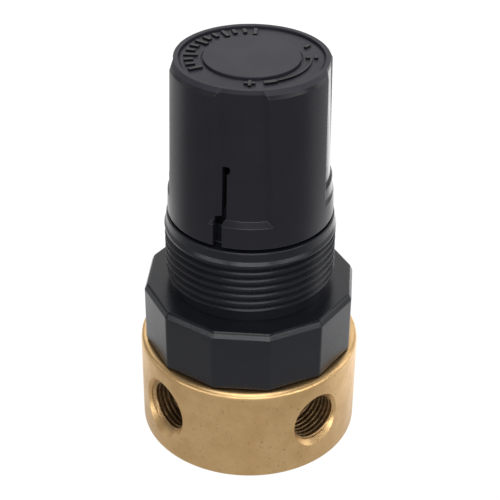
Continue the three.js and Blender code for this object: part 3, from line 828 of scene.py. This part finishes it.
def make_knob():
    levels = [z for low, high, by in LEVELS for z in np.arange(low, high, by)] + [72.1]
    foot = fillet(
        [
            (SKIRT_BORE_R, KNOB_BOTTOM, 0),
            (KNOB_R, KNOB_BOTTOM, 0.22),
            (knob_surface(46), 46, 0),
        ],
        0.2, 4,
    )[1:-1]
    top = fillet(
        [
            (knob_surface(72.15), 72.15, 0),
            (KNOB_UPPER_R, KNOB_CHAMFER_Z, 0.1),
            (KNOB_FACE_R, KNOB_TOP, 0.12),
            (CHANNEL[1], KNOB_TOP, 0),
        ],
        0.2, 4,
    )[1:-1]
    outside = [knob_ring(p[0], p[1]) for p in foot]
    outside += [knob_ring(knob_surface(z), z) for z in levels]
    outside += [knob_ring(p[0], p[1]) for p in top]
    angles = np.unwrap(np.arctan2(outside[-1][:, 1], outside[-1][:, 0]))
    inner = fillet(
        [
            (CHANNEL[1] + 0.6, KNOB_TOP, 0),
            (CHANNEL[1], KNOB_TOP, 0.08),
            (CHANNEL[1], KNOB_TOP - CHANNEL_DEPTH - GROOVE_DEPTH, 0.08),
            (CHANNEL[1] - GROOVE_WIDTH, KNOB_TOP - CHANNEL_DEPTH - GROOVE_DEPTH, 0.08),
            (CHANNEL[1] - GROOVE_WIDTH, KNOB_TOP - CHANNEL_DEPTH, 0.06),
            (CHANNEL[0] + GROOVE_WIDTH, KNOB_TOP - CHANNEL_DEPTH, 0.06),
            (CHANNEL[0] + GROOVE_WIDTH, KNOB_TOP - CHANNEL_DEPTH - GROOVE_DEPTH, 0.08),
            (CHANNEL[0], KNOB_TOP - CHANNEL_DEPTH - GROOVE_DEPTH, 0.08),
            (CHANNEL[0], KNOB_TOP, 0.08),
            (0.2, KNOB_TOP, 0),
            (0.2, KNOB_TOP - 1, 0),
        ],
        0.1, 3,
    )[1:-2]
    rings = outside + [circle(p[0], p[1], angles) for p in inner] + [circle(4.0, KNOB_TOP, angles)]
    verts, faces = stitch([circle(SKIRT_BORE_R - 0.5, KNOB_BOTTOM, angles)] + rings)
    piece = make_mesh("knob_visual", verts, faces)
    bore, faces = turned(
        [
            (0, KNOB_BOTTOM - 1),
            (SKIRT_BORE_R + 0.2, KNOB_BOTTOM - 1, 0),
            (SKIRT_BORE_R + 0.2, KNOB_BOTTOM, 0),
            (SKIRT_BORE_R, KNOB_BOTTOM + 0.3, 0),
            (SKIRT_BORE_R, 46.1),
            (BEAD_R, 46.5, 0.3),
            (BEAD_R, 47, 0.3),
            (SKIRT_BORE_R, 47.4),
            (SKIRT_BORE_R, SKIRT_BORE_TOP),
            (KNOB_BORE_R, SKIRT_BORE_TOP + 1),
            (KNOB_BORE_R, KNOB_BORE_TOP, 0.3),
            (HUB_R, KNOB_BORE_TOP, 0.3),
            (HUB_R, HUB_BOTTOM, 0.3),
            (0, HUB_BOTTOM),
        ],
        0.1, 192,
    )
    cut(piece, bore, faces)
    cut(piece, *drill(SOCKET_R, HUB_BOTTOM - 1, SOCKET_TOP, 6, -90))
    cut(piece, *slit_shapes())
    dress(piece, "knob", "knob_plastic", ["knob"], 30)


SLIT_TURN = -13.5  # degrees from the recess's middle to the slit beside it
# Outline of the slit, as sideways distance, height and corner rounding: a wide slot, a thin slit
# over it and a round end.
SLIT = [
    (-1.29, KNOB_BOTTOM - 1, 0.0),
    (0.31, KNOB_BOTTOM - 1, 0.0),
    (0.31, 49.8, 0.2),
    (0.86, 50.4, 0.2),
    (0.86, 58.6, 0.1),
    (1.36, 58.9, 0.35),
    (1.36, 60.0, 0.5),
    (0.04, 60.0, 0.25),
    (0.04, 50.9, 0.1),
    (-1.29, 50.5, 0.35),
]


def shifted(faces, by):
    """Faces whose points come later in a list."""
    return [tuple(by + k for k in face) for face in faces]


def slit_shapes():
    """Cutters through the knob's wall with the slit's outline, beside every other recess."""
    corners = fillet(SLIT, 0.2, 4)
    near = [(KNOB_BORE_R - 0.6, p[0], p[1]) for p in corners]
    far = [(KNOB_R + 1, p[0], p[1]) for p in corners]
    verts, faces = stitch([np.array(near), np.array(far)])
    first, last = (placed(verts, about_z(KNOB_TURN + SLIT_TURN + turn)) for turn in (0, 180))
    return np.concatenate([first, last]), faces + shifted(faces, len(verts))


def mark(outline, bottom, top, bevel=0.05):
    """A raised mark from an anticlockwise outline in the XY plane, with a bevel round its top."""
    points = np.array(outline, float)
    before, after = np.roll(points, 1, 0), np.roll(points, -1, 0)
    normals = []
    for a, b in ((before, points), (points, after)):
        d = b - a
        d /= np.linalg.norm(d, axis=1)[:, None]
        normals.append(np.stack([d[:, 1], -d[:, 0]], 1))
    out = normals[0] + normals[1]
    out /= np.maximum((out * normals[0]).sum(1), 0.35)[:, None]
    inset = points - bevel * out
    levels = [(points, bottom), (points, top - bevel), (inset, top)]
    rings = [np.column_stack([p, np.full(len(p), z)]) for p, z in levels]
    return stitch(rings)


def bar(middle_r, degrees, along, across, spin=0.0):
    """Corners of a small bar at a radius and angle. along is its radial size."""
    c, s = math.cos(math.radians(spin)), math.sin(math.radians(spin))
    x, y = along / 2, across / 2
    corners = [(-x, -y), (x, -y), (x, y), (-x, y)]
    turned_bar = [(middle_r + x * c - y * s, x * s + y * c) for x, y in corners]
    return polar_turn(turned_bar, degrees)


def polar_turn(points, degrees):
    c, s = math.cos(math.radians(degrees)), math.sin(math.radians(degrees))
    return [(x * c - y * s, x * s + y * c) for x, y in points]


def arc_band(inner, outer, start, end, steps=28):
    """An arc-shaped band, in degrees, as an anticlockwise outline."""
    sweep = np.radians(np.linspace(start, end, steps))
    far = [(outer * math.cos(a), outer * math.sin(a)) for a in sweep]
    near = [(inner * math.cos(a), inner * math.sin(a)) for a in reversed(sweep)]
    return far + near


MARK_TURN = -128.4  # degrees from +X to the direction that the marks' angles are counted from


def make_marks():
    floor, top = KNOB_TOP - CHANNEL_DEPTH - 0.05, KNOB_TOP - 0.06
    middle = sum(CHANNEL) / 2
    shapes = []
    plus_at, minus_at = -2 + MARK_TURN, 115 + MARK_TURN
    arm, thick = 1.9, 0.55
    half = thick / 2
    tip = arm / 2
    cross = [
        (-tip, -half), (-half, -half), (-half, -tip), (half, -tip), (half, -half), (tip, -half),
        (tip, half), (half, half), (half, tip), (-half, tip), (-half, half), (-tip, half),
    ]
    shapes.append(polar_turn([(middle - 0.3 + x, y) for x, y in cross], plus_at))
    shapes.append(bar(middle, minus_at, 1.3, 0.5, 25))
    shapes.append(arc_band(middle - 0.8, middle + 0.05, 11 + MARK_TURN, 24 + MARK_TURN, 10))
    shapes.append(arc_band(middle - 0.55, middle - 0.2, 24.3 + MARK_TURN, 86 + MARK_TURN, 40))
    for radius in (middle - 1.0, middle + 0.35):
        shapes.append(bar(radius, 90 + MARK_TURN, 0.75, 0.75))
    ticks = 13
    for i in range(ticks):
        long = i % 3 == 0
        at = -64 - (360 - 64 - 177) * i / (ticks - 1) + MARK_TURN
        shapes.append(bar(middle + (0 if long else 0.3), at, 2.4 if long else 1.6, 0.7))
    verts, faces = [], []
    for outline in shapes:
        v, f = mark(outline, floor, top)
        faces += shifted(f, len(verts))
        verts += [tuple(p) for p in v]
    piece = make_mesh("knob_marks", verts, faces)
    dress(piece, "knob", "knob_plastic", (), 30)
    piece.data.materials[0] = marks


make_body()
make_valve_spring()
make_regulating_spring()
make_diaphragm()
make_bonnet()
make_knob()
make_marks()

# ---- Studio ----

AXIS_Z = 35.82  # height of the point on the axis that the camera looks at
CAMERA_AZIMUTH = -38.4
CAMERA_ELEVATION = 33.132
CAMERA_DISTANCE = 237.15
CAMERA_ROLL = 0.597
CAMERA_LENS = 95.58


def aim(location, target, roll=0.0):
    """Placing of a camera or lamp at a point, looking at another, both in millimetres."""
    here, there = MM * Vector(location), MM * Vector(target)
    facing = (there - here).to_track_quat("-Z", "Y").to_matrix().to_4x4()
    return Matrix.Translation(here) @ facing @ Matrix.Rotation(math.radians(roll), 4, "Z")


def around(azimuth, elevation, distance):
    """A point at a distance from the axis's middle, at an azimuth from the front."""
    a, e = math.radians(azimuth), math.radians(elevation)
    flat = distance * math.cos(e)
    return (flat * math.sin(a), -flat * math.cos(a), AXIS_Z + distance * math.sin(e))


camera = bpy.data.objects.new("camera", bpy.data.cameras.new("camera"))
bpy.context.scene.collection.objects.link(camera)
standpoint = around(CAMERA_AZIMUTH, CAMERA_ELEVATION, CAMERA_DISTANCE)
camera.matrix_world = aim(standpoint, (0, 0, AXIS_Z), CAMERA_ROLL)
camera.data.lens = CAMERA_LENS
camera.data.sensor_width = 36
camera.data.clip_start = 0.01
camera.data.clip_end = 20
bpy.context.scene.camera = camera


def softbox(name, azimuth, elevation, distance, width, height, radiance):
    """A rectangular lamp aimed at the object. The azimuth is counted from the camera's."""
    lamp = bpy.data.lights.new(name, "AREA")
    lamp.shape = "RECTANGLE"
    lamp.size = width * MM
    lamp.size_y = height * MM
    lamp.energy = radiance * math.pi * lamp.size * lamp.size_y
    thing = bpy.data.objects.new(name, lamp)
    bpy.context.scene.collection.objects.link(thing)
    thing.matrix_world = aim(around(CAMERA_AZIMUTH + azimuth, elevation, distance), (0, 0, AXIS_Z))


softbox("light_back", 180, 32, 1000, 1500, 700, 1.0)
softbox("light_front", 2, 10, 900, 720, 240, 4.6)
softbox("light_front_left", -48, 7, 900, 640, 170, 3.4)
softbox("light_front_right", 54, 14, 900, 660, 300, 3.2)
softbox("light_left", -98, 22, 900, 360, 700, 0.4)
softbox("light_right", 108, 22, 900, 420, 700, 1.5)
softbox("light_high", 0, 50, 800, 460, 240, 3.6)
softbox("light_top", 0, 80, 800, 520, 380, 3.4)


def make_world():
    """Soft white surroundings, dimmer overhead, and plain white behind the floor's far edge."""
    world = bpy.data.worlds.new("studio")
    bpy.context.scene.world = world
    world.use_nodes = True
    tree = world.node_tree
    sky = tree.nodes["Background"]
    sky.inputs["Color"].default_value = (1, 1, 1, 1)
    way = tree.nodes.new("ShaderNodeTexCoord")
    split = tree.nodes.new("ShaderNodeSeparateXYZ")
    level = tree.nodes.new("ShaderNodeMapRange")
    path = tree.nodes.new("ShaderNodeLightPath")
    seen = tree.nodes.new("ShaderNodeMath")
    seen.operation = "MAXIMUM"
    level.inputs["From Min"].default_value = 0.2
    level.inputs["From Max"].default_value = 0.9
    level.inputs["To Min"].default_value = 0.32
    level.inputs["To Max"].default_value = 0.14
    tree.links.new(way.outputs["Generated"], split.inputs[0])
    tree.links.new(split.outputs["Z"], level.inputs["Value"])
    tree.links.new(level.outputs[0], seen.inputs[0])
    tree.links.new(path.outputs["Is Camera Ray"], seen.inputs[1])
    tree.links.new(seen.outputs[0], sky.inputs["Strength"])


make_world()

# Directions counted from the camera's, in degrees: where the floor's reflection brightens, and
# where it has a bright strip.
FLOOR_BRIGHT_WAY = 170
FLOOR_STRIP_WAY = 147
FLOOR_REACH = 6000
FLOOR_Z = -0.02


def make_floor():
    r = FLOOR_REACH
    verts = [(-r, -r, FLOOR_Z), (r, -r, FLOOR_Z), (r, r, FLOOR_Z), (-r, r, FLOOR_Z)]
    floor = make_mesh("floor", verts, [(0, 1, 2, 3)])
    n = Nodes("floor")
    sweep = n.add("ShaderNodeBsdfDiffuse", {"Color": (0.9, 0.9, 0.9, 1)})
    glow = n.add("ShaderNodeEmission", {"Color": (1, 1, 1, 1), "Strength": 1.12})
    seen = n.add("ShaderNodeMixShader", {0: 0.8, 1: sweep.outputs[0], 2: glow.outputs[0]})
    _, x, y, _, radius = n.place()

    def along(way):
        """How far a point lies towards a direction counted from the camera's."""
        turn = math.radians(CAMERA_AZIMUTH + way)
        sideways = n.math("MULTIPLY", x, math.sin(turn))
        return n.math("ADD", sideways, n.math("MULTIPLY", y, -math.cos(turn)))

    fade = n.between(radius, 0.05, 0.11, 1.13, 0.42)
    base = n.between(radius, 0.045, 0.10, 0.50, 0.32)
    bright = n.between(along(FLOOR_BRIGHT_WAY), -0.022, 0.042)
    tone = n.math("ADD", n.math("MULTIPLY", bright, fade), base)
    aside = n.math("DIVIDE", along(FLOOR_STRIP_WAY), radius)
    strip_strength = n.between(radius, 0.082, 0.10, 0.0, 1.9)
    tone = n.math("ADD", tone, n.math("MULTIPLY", n.between(aside, 0.97, 0.995), strip_strength))
    lit = n.add("ShaderNodeEmission", {"Color": (1, 1, 1, 1), "Strength": tone})
    watched = n.add("ShaderNodeLightPath").outputs["Is Camera Ray"]
    both = n.add("ShaderNodeMixShader", {0: watched, 1: lit.outputs[0], 2: seen.outputs[0]})
    n.add("ShaderNodeOutputMaterial", {"Surface": both.outputs[0]})
    floor.data.materials.append(n.material)


make_floor()
bpy.context.scene.view_settings.view_transform = "Standard"
